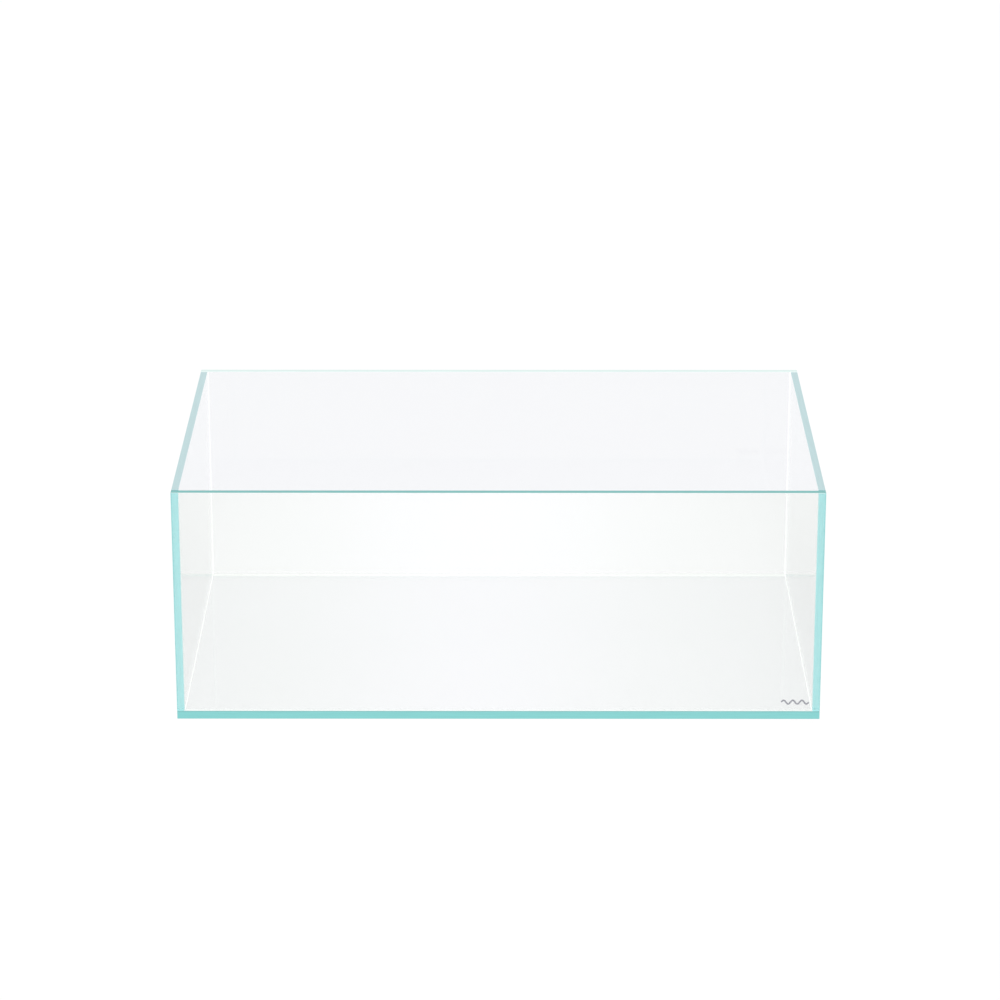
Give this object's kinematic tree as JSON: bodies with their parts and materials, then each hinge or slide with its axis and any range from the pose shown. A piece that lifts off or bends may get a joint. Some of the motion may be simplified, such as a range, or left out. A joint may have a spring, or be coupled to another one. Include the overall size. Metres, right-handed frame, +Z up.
{
  "type": "rimless aquarium",
  "caption": "Low open-topped rimless fish tank of clear low-iron glass panes with polished edges, bonded with clear silicone, its walls standing on a full-size base pane.",
  "frame": {"origin": "centre of the underside of the base pane, on the surface that the tank stands on", "axes": "+X along the tank's length, to the right seen from the front; the front pane faces -Y; +Z up, out of the open top"},
  "size_m": [0.45, 0.28, 0.168],
  "materials": {
    "base_glass": "clear low-iron float glass with polished edges",
    "front_glass": "clear low-iron float glass with polished edges",
    "back_glass": "clear low-iron float glass with polished edges",
    "side_glass": "clear low-iron float glass with polished edges",
    "bond_silicone": "clear cured silicone, slightly milky",
    "bead_silicone": "clear cured silicone, smooth and slightly milky"
  },
  "bodies": {
    "root": {"base_pane": "base_glass", "front_pane": "front_glass", "back_pane": "back_glass", "left_pane": "side_glass", "right_pane": "side_glass", "front_base_bond": "bond_silicone", "back_base_bond": "bond_silicone", "left_base_bond": "bond_silicone", "right_base_bond": "bond_silicone", "front_left_corner_bond": "bond_silicone", "front_right_corner_bond": "bond_silicone", "back_left_corner_bond": "bond_silicone", "back_right_corner_bond": "bond_silicone", "front_floor_bead": "bead_silicone", "back_floor_bead": "bead_silicone", "left_floor_bead": "bead_silicone", "right_floor_bead": "bead_silicone", "front_left_corner_bead": "bead_silicone", "front_right_corner_bead": "bead_silicone", "back_left_corner_bead": "bead_silicone", "back_right_corner_bead": "bead_silicone"}
  },
  "joints": []
}
